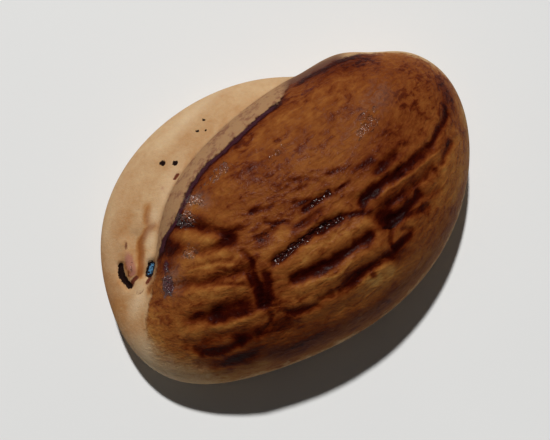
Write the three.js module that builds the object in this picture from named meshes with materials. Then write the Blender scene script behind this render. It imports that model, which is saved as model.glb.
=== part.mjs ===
// Cheese pogaca: a soft folded bun with a glazed, fork-scored top flap over a pale lower flap.
// Millimetres, +Z up, the flat base at z = 0. +X runs along the bun, +Y towards the pale flap.
import * as THREE from "three";

// ---- driving dimensions ----

const HALF_LENGTH = 58; // the mean ellipse that both flaps' outlines depart from
const HALF_WIDTH = 37;
const CENTRE = { x: 0, y: -4.2 };

const WIDEST_Z = 10; // height of the widest part of the side
const DOME_RISE = 31; // how far the top of the bun stands above that
const FLAP_RISE = 14; // share of it that is the lower flap; the folded top flap is the rest
const SEALED_RISE = 23; // the lower flap's share at the end where the flaps are pressed together
const BASE_TUCK = 8; // how far the side curls in under the bun

const DOME_POWER = 2.6; // roundness of both domes, 2 is an ellipse
const FOLD_EDGE_POWER = 0.48; // under 0.5 makes the fold's edge a steep roll
const SEALED_EDGE_POWER = 1.6; // at the sealed end the fold's edge runs out smoothly
const SEALED_AT = 192; // degrees round the bun
const SEALED_SPREAD = 24;

// Outlines of the two flaps as shares of the mean ellipse: one entry for each number of swells round the bun.
const TOP_OUTLINE = {
  mean: 0.972,
  swells: [
    { turns: 1, share: 0.083, at: -32 },
    { turns: 2, share: 0.102, at: 44 },
    { turns: 3, share: 0.018, at: -53 },
    { turns: 4, share: 0.032, at: 27.5 },
    { turns: 5, share: 0.013, at: -19.5 },
  ],
};
const LOWER_OUTLINE = {
  mean: 0.96,
  swells: [
    { turns: 1, share: 0.219, at: 147.5 },
    { turns: 2, share: 0.085, at: 92 },
    { turns: 3, share: 0.052, at: -20 },
    { turns: 4, share: 0.01, at: 15 },
  ],
};
// The top flap's corner next to the notch: a small bulge, then a dip.
const CORNER = [
  { at: 56, spread: 7, share: 0.026 },
  { at: 43, spread: 7, share: -0.02 },
];
const NOTCH_SOFTNESS = 0.003; // how sharply the two outlines meet, as a share of the ellipse
const SEAL_SOFTNESS = 0.012;
const DOME_SOFTNESS = 0.016;

// The thick edge of the top flap is bare dough below a lip, where the glaze ended and burnt.
// It runs at one level, then rises towards the sealed end. Angles in degrees round the bun.
const LIP = { from: 72, to: 150, fade: 9, level: 0.835, rise: 0.115, risesFrom: 116, width: 0.9, depth: 0.7 };

// Fork strokes across the glaze: straight from end to end but for a bow, with a raised edge on both sides.
const STROKES = [
  { from: [-13, -11.9], to: [8.7, -11.8], bow: 0, width: 1.3, depth: 1 },
  { from: [13.9, -11.5], to: [51, -4.2], bow: -1.9, width: 1.3, depth: 0.9 },
  { from: [-11, -18.1], to: [12.5, -19.1], bow: -1.3, width: 1.4, depth: 1.1 },
  { from: [-17.6, -25.4], to: [14, -27.9], bow: -1.6, width: 1.4, depth: 0.9 },
  { from: [-22, -29], to: [6, -33.6], bow: -1.2, width: 2.2, depth: 0.6 },
  { from: [1.7, -4.7], to: [9.9, -5.2], bow: -0.2, width: 1.2, depth: 0.6 },
  { from: [23.9, -7.2], to: [30.7, -6.5], bow: 0, width: 1.3, depth: 0.6 },
  { from: [22.2, -15.3], to: [47.1, -11.3], bow: -2, width: 1.4, depth: 0.8 },
  { from: [20, -20.2], to: [31, -18.7], bow: -0.5, width: 1.4, depth: 1 },
  { from: [25.2, -22.3], to: [30.4, -22.3], bow: 0, width: 1.2, depth: 0.5 },
  { from: [-29, 12], to: [-18.5, 0.1], bow: 0.5, width: 1.5, depth: 0.7 },
  { from: [-29.1, 2.2], to: [-20.1, 0], bow: -0.9, width: 1.3, depth: 0.8 },
  { from: [-38.3, -1.2], to: [-20.5, -8.4], bow: -0.2, width: 1.4, depth: 0.9 },
  { from: [-41.5, -11.6], to: [-25.8, -16.8], bow: 0.3, width: 2, depth: 1 },
  { from: [-44.1, -19.4], to: [-31.7, -24.8], bow: -1.8, width: 1.6, depth: 0.9 },
  { from: [-45.7, -23.3], to: [-31, -30], bow: -0.8, width: 1.7, depth: 0.6 },
];
// A raised edge: its height as a share of the stroke's depth, its place and width in stroke widths.
const STROKE_EDGE = { height: 0.35, away: 2.2, width: 0.9 };
const NO_EDGE = { height: 0, away: 0, width: 1 };

// Wrinkles that cross the strokes where the dough was pinched.
const WRINKLES = [
  { from: [-18.7, -5.1], to: [-22.3, -19.6], bow: 0.4, width: 1.4, depth: 1.1 },
  { from: [-16.7, -13.8], to: [-20.9, -19.9], bow: 0.7, width: 1.3, depth: 0.7 },
  { from: [-21.4, -23.2], to: [-28.2, -26.4], bow: 0.8, width: 1.2, depth: 0.5 },
  { from: [15.5, -13.4], to: [16.4, -18.5], bow: 0.2, width: 1.2, depth: 0.6 },
  { from: [18.4, -22.9], to: [16.2, -27.5], bow: -0.7, width: 1.2, depth: 0.6 },
];
const PINCH = { x: 19.8, y: -18.6, radius: 3.8, depth: 1.6 }; // the deep dent beside the right-hand wrinkles

// The burst in the pale flap: a burnt slot, a glossy ridge, a valley, and the hole at the fold's end.
const BURST = [
  { from: [-49.4, 12.9], to: [-50.8, 6.6], bow: -0.35, width: 1.5, depth: 1.8 },
  { from: [-44.8, 17], to: [-47, 10.5], bow: 0, width: 1.8, depth: -0.9 },
  { from: [-41, 17], to: [-44, 11], bow: 0, width: 1.6, depth: 0.7 },
  { from: [-41, 8.6], to: [-44.2, 5.7], bow: -0.2, width: 1.7, depth: 1.8 },
];

const LUMP = { height: 0.35, length: 31, slant: 0.35 }; // the slow unevenness of hand-shaped dough
const RELIEF_FADE = 0.12; // the relief reaches its full depth at this share of the way in from the silhouette

// ---- mesh resolution ----

const COLUMNS = 54; // quads of the top patch along the bun
const ROWS = 56; // and across it, finer because the strokes run lengthways
const COLUMN_CROWDING = 0.15; // how far the columns crowd towards the end with slanting strokes
const ROW_CROWDING = 0.18; // and the rows towards the scored side
const RIM_RINGS = 8; // from the top patch out to the silhouette
const SIDE_RINGS = 5; // from the silhouette down to the base
const LEAST_RIM = 0.035; // narrowest rim, as a share of the ellipse

// ---- outlines ----

const degrees = THREE.MathUtils.degToRad;

function outlineShare(outline, angle) {
  return outline.swells.reduce(
    (sum, swell) => sum + swell.share * Math.cos(swell.turns * (angle - degrees(swell.at))),
    outline.mean,
  );
}

// The larger of two values, rounded where they cross.
function softMax(a, b, softness) {
  return Math.max(a, b) + softness * Math.log1p(Math.exp(-Math.abs(a - b) / softness));
}

function bump(x) {
  return Math.exp(-x * x);
}

// How far an angle is from a place round the bun, in spreads.
function turnsFrom(angle, place, spread) {
  const turn = 2 * Math.PI;
  const away = THREE.MathUtils.euclideanModulo(angle - degrees(place) + Math.PI, turn) - Math.PI;
  return away / degrees(spread);
}

function topShare(angle) {
  return CORNER.reduce(
    (sum, corner) => sum + corner.share * bump(turnsFrom(angle, corner.at, corner.spread)),
    outlineShare(TOP_OUTLINE, angle),
  );
}

function silhouetteShare(angle, softness) {
  return softMax(topShare(angle), outlineShare(LOWER_OUTLINE, angle), softness);
}

function sealed(angle) {
  return bump(turnsFrom(angle, SEALED_AT, SEALED_SPREAD));
}

function silhouette(angle) {
  return silhouetteShare(angle, NOTCH_SOFTNESS + SEAL_SOFTNESS * sealed(angle));
}

function planPoint(angle, reach) {
  return {
    x: CENTRE.x + HALF_LENGTH * reach * Math.cos(angle),
    y: CENTRE.y + HALF_WIDTH * reach * Math.sin(angle),
  };
}

// ---- relief ----

// Depth below the surface of one stroke, wrinkle or slot at a place on the plan.
function strokeDepth(stroke, x, y, edge) {
  const [fromX, fromY] = stroke.from;
  const alongX = stroke.to[0] - fromX;
  const alongY = stroke.to[1] - fromY;
  const length = Math.hypot(alongX, alongY);
  const along = ((x - fromX) * alongX + (y - fromY) * alongY) / length;
  const across = ((y - fromY) * alongX - (x - fromX) * alongY) / length;
  const share = THREE.MathUtils.clamp(along / length, 0, 1);
  const offset = across - stroke.bow * 4 * share * (1 - share);
  const beyond = Math.max(-along, along - length, 0);
  const taper = bump(beyond / stroke.width) * stroke.depth;
  const away = Math.abs(offset) / stroke.width;
  return taper * (bump(away) - edge.height * bump((away - edge.away) / edge.width));
}

function lipDepth(angle, share) {
  const within =
    THREE.MathUtils.smoothstep(angle, degrees(LIP.from - LIP.fade), degrees(LIP.from)) -
    THREE.MathUtils.smoothstep(angle, degrees(LIP.to), degrees(LIP.to + LIP.fade));
  const rising = THREE.MathUtils.smoothstep(angle, degrees(LIP.risesFrom), degrees(LIP.to));
  const offset = (share - LIP.level - LIP.rise * rising) * HALF_WIDTH;
  return within * LIP.depth * bump(offset / LIP.width);
}

function lump(x, y) {
  const wave = (2 * Math.PI) / LUMP.length;
  return LUMP.height * Math.sin(wave * (x + LUMP.slant * y)) * Math.cos(wave * (y - LUMP.slant * x));
}

// Depth of all relief at an angle round the bun and a reach out from its centre, 1 being the mean ellipse.
function reliefDepth(angle, reach) {
  const { x, y } = planPoint(angle, reach);
  const pinch = PINCH.depth * bump(Math.hypot(x - PINCH.x, y - PINCH.y) / PINCH.radius);
  const strokes = STROKES.reduce((sum, stroke) => sum + strokeDepth(stroke, x, y, STROKE_EDGE), 0);
  const marks = [...WRINKLES, ...BURST].reduce((sum, mark) => sum + strokeDepth(mark, x, y, NO_EDGE), 0);
  return strokes + marks + pinch + lipDepth(angle, reach / topShare(angle));
}

// ---- surface ----

// Height of the top at such a place.
function topHeight(angle, reach) {
  const outward = Math.min(reach / silhouetteShare(angle, DOME_SOFTNESS), 1);
  const topReach = reach / topShare(angle);
  const flapRise = THREE.MathUtils.lerp(FLAP_RISE, SEALED_RISE, sealed(angle));
  const edgePower = THREE.MathUtils.lerp(FOLD_EDGE_POWER, SEALED_EDGE_POWER, sealed(angle));
  const dome = flapRise * Math.sqrt(1 - outward ** DOME_POWER);
  const fold = (DOME_RISE - flapRise) * Math.max(1 - topReach ** DOME_POWER, 0) ** edgePower;
  const { x, y } = planPoint(angle, reach);
  const inside = THREE.MathUtils.smoothstep(1 - outward, 0, RELIEF_FADE);
  return WIDEST_Z + dome + fold + inside * (lump(x, y) - reliefDepth(angle, reach));
}

function topPoint(angle, reach) {
  const { x, y } = planPoint(angle, reach);
  return [x, y, topHeight(angle, reach)];
}

// A point of the side, from the silhouette (0) round under the bun to the edge of the flat base (1).
function sidePoint(angle, share) {
  const reach = silhouette(angle);
  const turn = (share * Math.PI) / 2;
  const edge = planPoint(angle, reach);
  const outward = Math.hypot(edge.x - CENTRE.x, edge.y - CENTRE.y);
  const tucked = reach * (1 - (BASE_TUCK * (1 - Math.cos(turn))) / outward);
  const { x, y } = planPoint(angle, tucked);
  return [x, y, topHeight(angle, reach) * (1 - Math.sin(turn))];
}

// ---- mesh ----

// The top patch stops at the fold's crease, or a little inside the silhouette where there is no crease.
function patchEdge(angle) {
  return -softMax(-topShare(angle), LEAST_RIM - silhouette(angle), NOTCH_SOFTNESS);
}

// Moves evenly spaced values from -1 to 1 closer together towards -1.
function crowded(value, amount) {
  return value - amount * (1 - value * value);
}

function bunGeometry() {
  const positions = [];
  const triangles = [];
  const addPoint = (point) => positions.push(...point) / 3 - 1;
  const addQuad = (a, b, c, d) => triangles.push(a, b, c, a, c, d);

  // A square grid pressed into the round patch.
  const patch = [];
  for (let row = 0; row <= ROWS; row++) {
    for (let column = 0; column <= COLUMNS; column++) {
      const u = crowded((2 * column) / COLUMNS - 1, COLUMN_CROWDING);
      const v = crowded((2 * row) / ROWS - 1, ROW_CROWDING);
      const across = u * Math.sqrt(1 - (v * v) / 2);
      const up = v * Math.sqrt(1 - (u * u) / 2);
      const angle = Math.atan2(up, across);
      const reach = Math.hypot(across, up) * patchEdge(angle);
      patch.push({ angle, index: addPoint(topPoint(angle, reach)), depth: reliefDepth(angle, reach) });
    }
  }
  const patchAt = (column, row) => patch[row * (COLUMNS + 1) + column];
  for (let row = 0; row < ROWS; row++) {
    for (let column = 0; column < COLUMNS; column++) {
      const [a, b] = [patchAt(column, row), patchAt(column + 1, row)];
      const [d, c] = [patchAt(column, row + 1), patchAt(column + 1, row + 1)];
      // Each quad is split along the diagonal that stays at one depth, so that it follows the strokes.
      if (Math.abs(a.depth - c.depth) < Math.abs(b.depth - d.depth)) {
        addQuad(a.index, b.index, c.index, d.index);
      } else {
        addQuad(b.index, c.index, d.index, a.index);
      }
    }
  }

  // The patch's edge, anticlockwise, and the rings that carry it out, down and under.
  const loop = [];
  for (let column = 0; column < COLUMNS; column++) loop.push(patchAt(column, 0));
  for (let row = 0; row < ROWS; row++) loop.push(patchAt(COLUMNS, row));
  for (let column = COLUMNS; column > 0; column--) loop.push(patchAt(column, ROWS));
  for (let row = ROWS; row > 0; row--) loop.push(patchAt(0, row));
  let ring = loop.map((point) => point.index);
  const addRing = (pointAt) => {
    const next = loop.map((point) => addPoint(pointAt(point.angle)));
    ring.forEach((index, place) => {
      const after = (place + 1) % ring.length;
      addQuad(index, next[place], next[after], ring[after]);
    });
    ring = next;
  };
  for (let step = 1; step <= RIM_RINGS; step++) {
    const share = Math.sin((step / RIM_RINGS) * (Math.PI / 2));
    addRing((angle) => topPoint(angle, THREE.MathUtils.lerp(patchEdge(angle), silhouette(angle), share)));
  }
  for (let step = 1; step <= SIDE_RINGS; step++) {
    addRing((angle) => sidePoint(angle, step / SIDE_RINGS));
  }

  // The flat base.
  const middle = addPoint([CENTRE.x, CENTRE.y, 0]);
  ring.forEach((index, place) => triangles.push(index, middle, ring[(place + 1) % ring.length]));

  const geometry = new THREE.BufferGeometry();
  geometry.setAttribute("position", new THREE.Float32BufferAttribute(positions, 3));
  geometry.setIndex(triangles);
  geometry.computeVertexNormals();
  return geometry;
}

const glazedCrust = new THREE.MeshStandardMaterial({ color: 0x86461c, roughness: 0.4, metalness: 0 });
const bun = new THREE.Mesh(bunGeometry(), glazedCrust);
bun.name = "bun";

const pogaca = new THREE.Group();
pogaca.add(bun);

export default pogaca;
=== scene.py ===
"""Looks of a cheese pogaca, a soft folded bun: glazed and fork-scored on top, bare and pale below.

The bun is one fine mesh on the solid's outlines and domes, with the solid's strokes and finer marks in its
relief. Glaze, burn and bare dough are fields kept as vertex attributes, and one crust material turns them
into colour, gloss and bump. Lengths are millimetres until the mesh is made. A place on the plan is also given
by its angle round the bun and its reach, the way out from the middle as a share of the mean ellipse.
"""

import math
from typing import NamedTuple

import bpy
import numpy as np
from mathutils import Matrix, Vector


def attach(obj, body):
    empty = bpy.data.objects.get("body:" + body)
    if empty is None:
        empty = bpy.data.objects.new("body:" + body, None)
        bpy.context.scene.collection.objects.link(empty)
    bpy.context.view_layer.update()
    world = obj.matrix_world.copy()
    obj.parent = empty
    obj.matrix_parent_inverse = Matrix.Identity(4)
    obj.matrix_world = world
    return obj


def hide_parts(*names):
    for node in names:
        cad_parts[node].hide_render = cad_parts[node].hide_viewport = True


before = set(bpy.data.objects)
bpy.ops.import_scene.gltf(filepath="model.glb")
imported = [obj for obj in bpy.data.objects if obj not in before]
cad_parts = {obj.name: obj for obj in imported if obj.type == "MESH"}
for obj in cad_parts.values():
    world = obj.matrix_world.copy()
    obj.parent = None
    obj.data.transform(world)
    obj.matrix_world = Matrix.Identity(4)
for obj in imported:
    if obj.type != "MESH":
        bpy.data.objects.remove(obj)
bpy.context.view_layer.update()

MM = 0.001

# ---- shape, as in the solid ----

HALF_LENGTH, HALF_WIDTH = 58, 37  # the mean ellipse that both flaps' outlines depart from
CENTRE_X, CENTRE_Y = 0, -4.2
WIDEST_Z = 10  # height of the widest part of the side
DOME_RISE = 31  # how far the top of the bun stands above that
FLAP_RISE = 14  # how much of it is the lower flap, the folded top flap being the rest
SEALED_RISE = 23  # the same at the end where the flaps are pressed together
SEALED_AT, SEALED_SPREAD = 192, 24  # degrees round the bun
BASE_TUCK = 8  # how far the side curls in under the bun
DOME_POWER = 2.6  # roundness of both domes, 2 being an ellipse
FOLD_EDGE_POWER = 0.48  # under 0.5 the fold's edge is a steep roll
SEALED_EDGE_POWER = 1.6  # at the sealed end it runs out smoothly


class Swell(NamedTuple):
    """A wave in an outline: how often it goes round, how large it is and where it peaks, in degrees."""

    turns: int
    share: float
    at: float


class Outline(NamedTuple):
    """How far out a flap reaches, as a share of the mean ellipse: a mean and the waves in it."""

    mean: float
    swells: list


class Corner(NamedTuple):
    """A bulge or dent in the top outline: where it is and how wide, in degrees, and how large."""

    at: float
    spread: float
    share: float


TOP_OUTLINE = Outline(
    0.972,
    [
        Swell(1, 0.083, -32),
        Swell(2, 0.102, 44),
        Swell(3, 0.018, -53),
        Swell(4, 0.032, 27.5),
        Swell(5, 0.013, -19.5),
    ],
)
LOWER_OUTLINE = Outline(
    0.96,
    [Swell(1, 0.219, 147.5), Swell(2, 0.085, 92), Swell(3, 0.052, -20), Swell(4, 0.01, 15)],
)
CORNERS = [Corner(56, 7, 0.026), Corner(43, 7, -0.02)]
NOTCH_SOFTNESS = 0.003  # how softly the two outlines meet, as a share of the ellipse
SEAL_SOFTNESS = 0.012  # what the sealed end adds to it
DOME_SOFTNESS = 0.016  # the same where the domes follow them


class Stroke(NamedTuple):
    """A long mark, such as a furrow of the fork or a wrinkle: straight but for its bow."""

    start: tuple
    end: tuple
    bow: float  # how far its middle stands off the straight line
    width: float
    depth: float  # below 0 where it stands up
    amount: float  # of darkness or colour, below 0 where it is paler


# The fork's furrows over the bun, then those fanning out at its left end.
STROKES = [
    Stroke((-13, -11.9), (8.7, -11.8), 0, 1.1, 1.5, 0.28),
    Stroke((16, -11.6), (29.5, -10.5), 0.1, 1.35, 1.3, 0.35),
    Stroke((29.5, -10.4), (40.4, -9.4), -0.1, 1.1, 1, 0.26),
    Stroke((40.4, -9), (51, -4.2), -0.4, 1, 1, 0.31),
    Stroke((-11.2, -18.6), (12.5, -20.5), -1.3, 1.5, 1.6, 0.36),
    Stroke((-17.6, -25.4), (-9.9, -28.1), -0.4, 1.1, 1.2, 0.25),
    Stroke((-8.5, -27.2), (-4.3, -27.7), -0.1, 1, 1, 0.2),
    Stroke((-2.3, -28.3), (14, -27.9), 0.3, 1.3, 1.3, 0.28),
    Stroke((-22, -29), (6, -33.6), -1.2, 2.2, 0.8, 0.03),
    Stroke((1.7, -4.7), (9.9, -5.2), -0.2, 1, 0.8, 0.28),
    Stroke((23.9, -7.2), (30.7, -6.5), 0, 1.3, 0.9, 0.27),
    Stroke((22.2, -15.8), (29.5, -16.1), -0.1, 1.3, 1.2, 0.17),
    Stroke((30.8, -15.8), (38, -14.7), -0.2, 1.2, 1, 0.2),
    Stroke((40.8, -14.8), (47.1, -11.3), -0.1, 0.9, 0.9, 0.24),
    Stroke((20, -20.2), (31, -18.7), -0.5, 1.3, 1.5, 0.36),
    Stroke((25.2, -21.9), (31, -22.7), 0, 1.1, 0.8, 0.24),
    Stroke((-29, 12), (-18.5, 0.1), 0.5, 1.5, 1, 0.2),
    Stroke((-29.1, 2.2), (-20.1, 0), -0.9, 1.2, 1.1, 0.16),
    Stroke((-38.8, -2.1), (-21.3, -9.5), -0.6, 1.3, 1.3, 0.16),
    Stroke((-40.5, -12.4), (-33, -14.8), 0, 1.6, 1.2, 0.15),
    Stroke((-33.5, -14.6), (-26, -16.6), 0, 2.1, 1.4, 0.3),
    Stroke((-45.3, -16.9), (-30.1, -23.1), 0, 1.3, 0.8, 0.12),
    Stroke((-44.1, -19.4), (-31.7, -24.8), -1.8, 1.3, 1.2, 0.25),
    Stroke((-45.7, -23.3), (-31, -30), -0.8, 1.6, 0.9, 0.16),
]
# Wrinkles across them.
WRINKLES = [
    Stroke((-18.7, -5.1), (-18.7, -10), 0.6, 0.9, 1, 0.24),
    Stroke((-20.7, -11.1), (-21.3, -13.9), 0, 0.9, 1, 0.24),
    Stroke((-19.3, -9.7), (-21.2, -19.7), 0.2, 1.1, 1.1, 0.2),
    Stroke((-20.3, -15.4), (-22.3, -19), 0, 1.3, 1.1, 0.32),
    Stroke((-16.7, -13.8), (-20.9, -19.9), 0.7, 1.2, 1.2, 0.28),
    Stroke((-21.4, -23.2), (-28.2, -26.4), 0.8, 0.9, 0.7, 0.18),
    Stroke((18.4, -22.9), (16.2, -27.5), -0.7, 0.8, 0.8, 0.22),
    Stroke((16.4, -27.2), (22.6, -26.3), 0, 0.9, 0.7, 0.2),
]
# Short scratches and flecks of darker glaze.
SCRATCHES = [
    Stroke((-29, 12), (-24.5, 7.6), 0.1, 1.1, 0.3, 0.34),
    Stroke((-34.4, 7.8), (-31.2, 5.4), 0, 2.1, 0.4, 0.26),
    Stroke((-20.7, 2.9), (-15.5, 0.9), 0, 1, 0.4, 0.2),
    Stroke((-33, -23.4), (-19, -27.4), -0.3, 1.8, 0.4, 0.22),
    Stroke((1, -12.1), (8.4, -12), 0, 1.3, 0.3, 0.3),
    Stroke((-35, -15.2), (-27, -17.8), 0, 1.9, 0.3, 0.3),
    Stroke((-30.5, -7.4), (-23.8, -12.5), 0, 0.6, 0.5, 0.2),
    Stroke((12.2, -5.5), (15.9, -5.5), 0, 0.7, 0.5, 0.2),
    Stroke((51.2, -3.6), (51.7, -1.5), 0, 0.7, 0.4, 0.2),
    Stroke((8.7, -11.8), (14.4, -14.3), 0.1, 0.6, 0.5, 0.22),
    Stroke((-13.2, -4.4), (-7.6, -4.5), -0.1, 1, 0.6, 0.12),
    Stroke((-3.5, -7.6), (5, -7.6), 0, 1.2, 0.4, 0.2),
    Stroke((-9.1, -1.9), (-4.1, -5.3), 0, 0.6, 0.4, 0.18),
    Stroke((-10.6, 2.8), (-4.9, 0.8), -0.4, 0.7, 0.4, 0.18),
    Stroke((0.4, -1.7), (4.4, -3.6), 0, 0.7, 0.4, 0.2),
    Stroke((3.1, 0.5), (5.7, 0.1), 0, 0.6, 0.4, 0.16),
    Stroke((2.5, 3.6), (10, -1.8), 0.7, 0.6, 0.3, 0.1),
    Stroke((19.7, -3.5), (24.6, -3.8), 0, 1.1, 0.4, 0.17),
    Stroke((12, -0.5), (17, -1.6), 0.2, 0.6, 0.3, 0.12),
    Stroke((32.6, -20.4), (37, -20.5), 0, 1.1, 0.5, 0.14),
    Stroke((21.3, -24.3), (23.8, -25.8), 0, 0.6, 0.4, 0.16),
    Stroke((7.6, -30.2), (8.1, -30.3), 0, 0.7, 0.2, 0.44),
]
# Golden ridges between the furrows, where the glaze is thin.
RIDGES = [
    Stroke((-34.9, 1.3), (-19.4, -5), 1.2, 1.6, -0.5, -0.1),
    Stroke((-35.7, -6.9), (-24.9, -13.1), 0, 1.9, -0.4, -0.1),
    Stroke((-37, -17.4), (-24, -21.2), -0.5, 0.9, -0.4, -0.1),
    Stroke((-33.5, -1.2), (-22.9, -6.3), 0.5, 0.4, -0.3, -0.16),
    Stroke((-29, 6.6), (-22, 1.8), 0.4, 1.3, -0.2, -0.08),
    Stroke((-6, -15.6), (13.6, -16.8), 0.2, 1.7, -0.5, -0.15),
    Stroke((-0.8, -16.4), (0.6, -15.6), 0, 0.5, -0.3, -0.2),
    Stroke((-12, -22), (4, -23.6), -0.7, 1.4, -0.4, -0.1),
    Stroke((-5.9, -22.7), (4.8, -23.8), -1.1, 0.35, -0.3, -0.2),
    Stroke((-14, -8), (-4, -8.3), 0.2, 1.3, -0.3, -0.08),
    Stroke((18.4, -12.9), (43, -11.4), -0.9, 0.35, -0.3, -0.12),
    Stroke((5.3, -30.6), (11, -30.3), -0.2, 2.6, -0.4, -0.24),
    Stroke((40.9, -16), (35, -23.7), 1.1, 1, -0.3, -0.07),
    Stroke((50.9, -9.5), (37.9, -25.2), 3, 1, -0.3, -0.08),
]
# Small creases of thick glaze behind the lip, which catch the light.
CREASES = [
    Stroke((-22.9, 15.8), (-20.4, 13), 0, 0.7, -0.35, 0),
    Stroke((-27.4, 14.2), (-24.7, 11), 0, 0.7, -0.35, 0),
    Stroke((-31.3, 4.7), (-30.2, 1.8), 0, 0.55, -0.5, 0),
    Stroke((-41.1, 2.3), (-39, -0.6), 0, 0.55, -0.5, 0),
    Stroke((-42.4, -0.2), (-40.3, -3), 0, 0.55, -0.5, 0),
]
PINCH_X, PINCH_Y, PINCH_RADIUS, PINCH_DEPTH = 19.8, -18.6, 3.8, 1.6  # the dent at the right-hand wrinkles

# The burst in the pale flap: a ridge and a valley, and the narrow slot and hole torn beside them.
BURST = [
    Stroke((-44.8, 17), (-47, 10.5), 0, 1.8, -0.9, 0),
    Stroke((-41, 17), (-44, 11), 0, 1.6, 0.7, 0),
]
SLOT = Stroke((-49.2, 12.7), (-50.4, 6.4), -0.8, 0.95, 2.4, 1)
HOLE = Stroke((-41.6, 7.8), (-43.5, 6.1), 0, 1.35, 2.6, 1)
# Thin brown scars round them, and one by the pores.
SCARS = [
    Stroke((-50, 6), (-47.3, 7.1), 0.3, 0.75, 0.4, 1),
    Stroke((-48.4, 11.8), (-48.9, 8.8), 0.3, 0.5, 0, 0.62),
    Stroke((-44.3, 17.9), (-45.2, 15.6), 0, 0.6, 0.4, 0.7),
    Stroke((-49.1, 4.4), (-49.3, 2.7), -0.3, 0.35, 0.3, 0.55),
    Stroke((-49.3, 2.7), (-47.5, 3.2), -0.3, 0.35, 0.3, 0.55),
    Stroke((-43.9, 4.8), (-45.5, 4.1), 0, 0.6, 0.3, 1),
    Stroke((-46, 3.8), (-46.4, 0.3), 0, 0.4, 0.3, 0.5),
    Stroke((-22.6, 24.4), (-21.2, 25), 0, 0.5, 0.5, 1),
]
STROKE_DEPTH = 0.6  # share of the depth of strokes and wrinkles that is left under the glaze

LUMP_HEIGHT, LUMP_LENGTH, LUMP_SLANT = 0.35, 31, 0.35  # the slow unevenness of hand-shaped dough
RELIEF_FADE = 0.12  # share of the way in from the silhouette at which the relief has its full depth

# The glaze ends at a lip on the pale flap's side: degrees round the bun, and share of the top outline.
LIP_LINE = [
    (42, 1.0),
    (46, 0.965),
    (49, 0.95),
    (52, 0.93),
    (57, 0.9),
    (63, 0.908),
    (69, 0.92),
    (71, 0.87),
    (73, 0.835),
    (77, 0.837),
    (84, 0.83),
    (92, 0.822),
    (101, 0.822),
    (108, 0.853),
    (116, 0.855),
    (121, 0.862),
    (127, 0.855),
    (137, 0.885),
    (144, 0.945),
    (150, 0.97),
    (156, 0.972),
    (162, 0.955),
    (167, 0.95),
    (173, 0.95),
    (178, 0.962),
    (182, 0.962),
    (192, 0.95),
    (202, 0.98),
    (212, 1.03),
    (222, 1.08),
    (236, 1.2),
]

LIP_BEYOND = 1.3  # past the outline, where the glaze has no lip
LIP_DEPTH, LIP_WIDTH = 0.7, 0.9  # the groove along it

# ---- mesh resolution ----

COLUMNS, ROWS = 232, 196  # quads of the top patch, along the bun and across
COLUMN_CROWDING, ROW_CROWDING = 0.1, 0.12  # how far they crowd towards the scored end and side
RIM_RINGS, SIDE_RINGS, BASE_RINGS = 28, 20, 5
LEAST_RIM = 0.035  # narrowest rim round the top patch, as a share of the ellipse

# ---- noise ----

NOISE_TABLE = 256
OCTAVES = 3


class Noise(NamedTuple):
    """A rough noise over the plan: the size of its lumps, how high they are, and its own seed."""

    size: float
    height: float
    seed: int


def plan_noise(x, y, size, seed):
    """Smooth noise from -1 to 1 over the plan, in lumps about size across."""
    table = np.random.default_rng(seed).uniform(-1, 1, (NOISE_TABLE, NOISE_TABLE))
    u, v = x / size, y / size
    column, row = np.floor(u).astype(int), np.floor(v).astype(int)
    along, up = u - column, v - row
    along = along * along * (3 - 2 * along)
    up = up * up * (3 - 2 * up)

    def corner(right, above):
        return table[(column + right) % NOISE_TABLE, (row + above) % NOISE_TABLE]

    low = corner(0, 0) * (1 - along) + corner(1, 0) * along
    high = corner(0, 1) * (1 - along) + corner(1, 1) * along
    return low * (1 - up) + high * up


def rough_noise(noise, x, y):
    """Octaves of plan noise, each half the size and height of the one before."""
    octaves = [plan_noise(x, y, noise.size / 2**n, noise.seed + n) / 2**n for n in range(OCTAVES)]
    return noise.height * (sum(octaves) / sum(1 / 2**n for n in range(OCTAVES)))


# ---- outlines ----


def bump(x):
    """A smooth hill, 1 in its middle at 0."""
    return np.exp(-x * x)


def smoothstep(x, low, high):
    share = np.clip((x - low) / (high - low), 0, 1)
    return share * share * (3 - 2 * share)


def soft_max(a, b, softness):
    """The larger of a and b, and a little more where they are nearly alike."""
    return np.maximum(a, b) + softness * np.log1p(np.exp(-np.abs(a - b) / softness))


def outline_share(outline, angle):
    swells = sum(s.share * np.cos(s.turns * (angle - math.radians(s.at))) for s in outline.swells)
    return outline.mean + swells


def spreads_from(angle, at, spread):
    """How far an angle is from at, in spreads, both in degrees."""
    away = (angle - math.radians(at) + math.pi) % (2 * math.pi) - math.pi
    return away / math.radians(spread)


def top_share(angle):
    corners = sum(c.share * bump(spreads_from(angle, c.at, c.spread)) for c in CORNERS)
    return outline_share(TOP_OUTLINE, angle) + corners


def silhouette_share(angle, softness):
    return soft_max(top_share(angle), outline_share(LOWER_OUTLINE, angle), softness)


def sealed(angle):
    """1 where the flaps are pressed together, and 0 well away from there."""
    return bump(spreads_from(angle, SEALED_AT, SEALED_SPREAD))


def silhouette(angle):
    return silhouette_share(angle, NOTCH_SOFTNESS + SEAL_SOFTNESS * sealed(angle))


def plan_point(angle, reach):
    return CENTRE_X + HALF_LENGTH * reach * np.cos(angle), CENTRE_Y + HALF_WIDTH * reach * np.sin(angle)


# ---- relief ----


WARP = 0.3  # how far the plan is pushed by each of a coarse and a fine noise
COARSE_WARP, FINE_WARP = 6, 2.2  # size of their lumps
WARP_SEEDS_X, WARP_SEEDS_Y = (11, 12), (13, 14)


def warped(x, y):
    """The plan pushed about a little, so that no stroke is ruler-straight."""

    def pushed(value, coarse_seed, fine_seed):
        coarse = plan_noise(x, y, COARSE_WARP, coarse_seed)
        fine = plan_noise(x, y, FINE_WARP, fine_seed)
        return value + WARP * coarse + WARP * fine

    return pushed(x, *WARP_SEEDS_X), pushed(y, *WARP_SEEDS_Y)


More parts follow.
